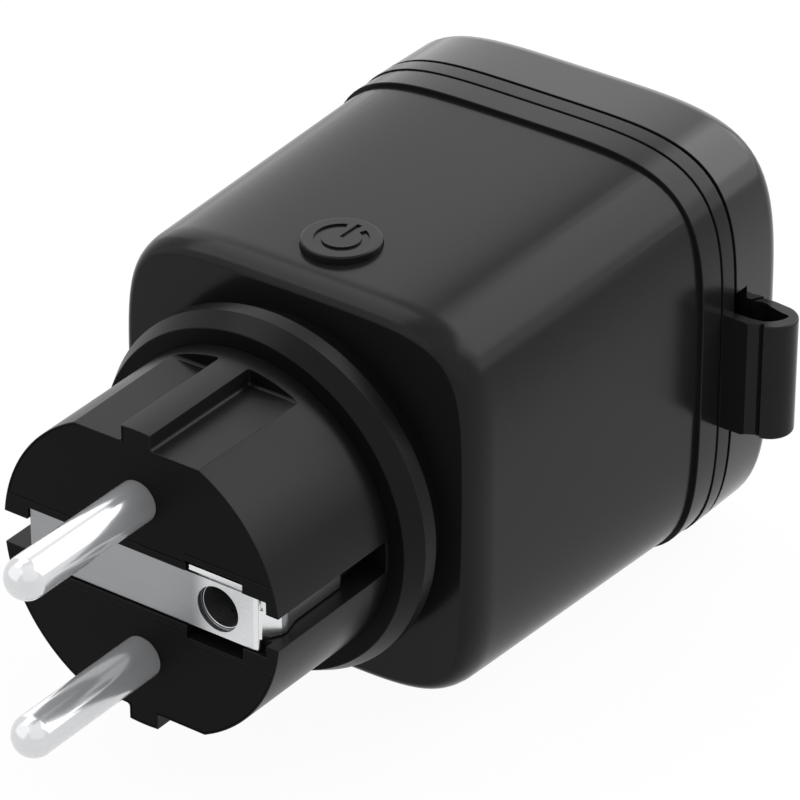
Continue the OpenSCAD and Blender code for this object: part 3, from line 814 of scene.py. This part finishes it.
button = {
    "radius": 4.4, "y": 35.2, "bottom": 20.2, "top": 24.42, "rim": 0.22, "flange": 5.0, "flangeTop": 20.85,
    "signDepth": 0.22,
    # shares of the radius
    "ringOuter": 0.68, "ringInner": 0.49, "barHalf": 0.07, "barLength": 0.75,
    # the gap in the ring opens from the middle to this half width at this distance
    "gapHalf": 1.75, "gapReach": 4}


def makeButton(look):
    r, top, y = look["radius"], look["top"], look["y"]
    piece = rodAlongZ(r, look["bottom"], top, y=y, sides=128, name="power_button")
    join(piece, rodAlongZ(look["flange"], look["bottom"], look["flangeTop"], y=y))
    bevelRim(piece, look["rim"], 4, z=top)
    floor, above = top - look["signDepth"], top + overlap
    gap = [(0, y), (look["gapHalf"], y + look["gapReach"]), (-look["gapHalf"], y + look["gapReach"])]
    sign = rodAlongZ(look["ringOuter"] * r, floor, above, y=y)
    cut(sign, rodAlongZ(look["ringInner"] * r, floor - overlap, top + past, y=y),
        drawOutline(gap, floor - overlap, top + past))
    bar = look["barHalf"] * r
    cut(piece, sign, box((-bar, bar), (y, y + look["barLength"] * r), (floor, above)))
    finishPiece(piece, "button", caseBlack, "housing_black", "button_cap", smooth=28)


makeButton(button)


# studio

camera = {"place": (280.48, -342.25, 284.92), "look": (-0.5032, 0.6960, -0.5122), "lens": 230.0, "sensor": 36.0,
          "clip": (0.01, 20)}
lens = bpy.data.cameras.new("camera")
eye = bpy.data.objects.new("camera", lens)
bpy.context.scene.collection.objects.link(eye)
lens.lens = camera["lens"]
lens.sensor_width = camera["sensor"]
lens.clip_start, lens.clip_end = camera["clip"]
eye.location = Vector(camera["place"]) * mm
eye.rotation_euler = Vector(camera["look"]).to_track_quat("-Z", "Y").to_euler()
bpy.context.scene.camera = eye

studio = {"floorZ": -25.6, "floorSize": 3.0, "floorColour": "#f4f4f4", "shown": 0.95, "airStrength": 0.5,
          "middle": (0, 0.045, 0.01)}
white = (1, 1, 1, 1)


def addSeenRays(tree):
    # 1 for the rays that see the surroundings: straight, mirrored or through something clear
    rays = addNode(tree, "ShaderNodeLightPath").outputs
    seen = rays["Is Camera Ray"]
    for kind in ("Is Glossy Ray", "Is Transmission Ray"):
        seen = addNode(tree, "ShaderNodeMath", {"operation": "MAXIMUM"}, {0: seen, 1: rays[kind]}).outputs[0]
    return seen


# the paper takes soft shadows and is otherwise as white as the air around it
clearSelection()
floorPlace = (0, studio["middle"][1], studio["floorZ"] * mm)
bpy.ops.mesh.primitive_plane_add(size=studio["floorSize"], location=floorPlace)
floor = placeApplied("studio_floor")
paper = bpy.data.materials.new("white paper sweep")
paper.use_nodes = True
tree = paper.node_tree
tree.nodes.clear()
share = addNode(tree, "ShaderNodeMath", {"operation": "MULTIPLY", 1: studio["shown"]}, {0: addSeenRays(tree)})
lit = addNode(tree, "ShaderNodeBsdfDiffuse", {"Color": toLinear(studio["floorColour"])})
plain = addNode(tree, "ShaderNodeEmission", {"Color": white, "Strength": 1.0})
both = addNode(tree, "ShaderNodeMixShader", None, {0: share.outputs[0], 1: lit.outputs[0], 2: plain.outputs[0]})
addNode(tree, "ShaderNodeOutputMaterial", None, {"Surface": both.outputs[0]})
floor.data.materials.append(paper)

world = bpy.data.worlds.new("studio air")
bpy.context.scene.world = world
world.use_nodes = True
tree = world.node_tree
tree.nodes.clear()
seen = addSeenRays(tree)
air = addNode(tree, "ShaderNodeBackground", {"Color": white, "Strength": studio["airStrength"]})
backdrop = addNode(tree, "ShaderNodeBackground", {"Color": white, "Strength": 1.0})
mixed = addNode(tree, "ShaderNodeMixShader", None, {0: seen, 1: air.outputs[0], 2: backdrop.outputs[0]})
addNode(tree, "ShaderNodeOutputWorld", None, {"Surface": mixed.outputs[0]})

# turn and rise in degrees, distance and size in metres; the level is the brightness that a mirror would show
softboxes = {
    "back left softbox": {"turn": -36, "rise": 20, "away": 1.0, "size": (1.0, 0.85), "level": 1.0},
    "back right softbox": {"turn": 25, "rise": 37, "away": 1.0, "size": (0.85, 0.56), "level": 1.9},
    "back right scrim": {"turn": 29, "rise": 33, "away": 1.05, "size": (1.25, 1.0), "level": 1.6},
    "overhead strip": {"turn": -84, "rise": 59, "away": 1.0, "size": (0.85, 0.5), "level": 2.2},
    "front left fill": {"turn": -140, "rise": 32, "away": 1.1, "size": (1.5, 1.2), "level": 0.55},
    "front right fill": {"turn": 120, "rise": 50, "away": 1.2, "size": (1.9, 1.9), "level": 0.25}}
for name, look in softboxes.items():
    lamp = bpy.data.lights.new(name, "AREA")
    lamp.shape = "RECTANGLE"
    lamp.size, lamp.size_y = look["size"]
    lamp.energy = look["level"] * math.pi * lamp.size * lamp.size_y
    holder = bpy.data.objects.new(name, lamp)
    bpy.context.scene.collection.objects.link(holder)
    turn, rise = math.radians(look["turn"]), math.radians(look["rise"])
    way = Vector((math.sin(turn) * math.cos(rise), math.cos(turn) * math.cos(rise), math.sin(rise)))
    holder.location = Vector(studio["middle"]) + way * look["away"]
    holder.rotation_euler = (-way).to_track_quat("-Z", "Y").to_euler()
    holder.visible_camera = False

view = bpy.context.scene.view_settings
view.view_transform = "Standard"
print("studio ready")
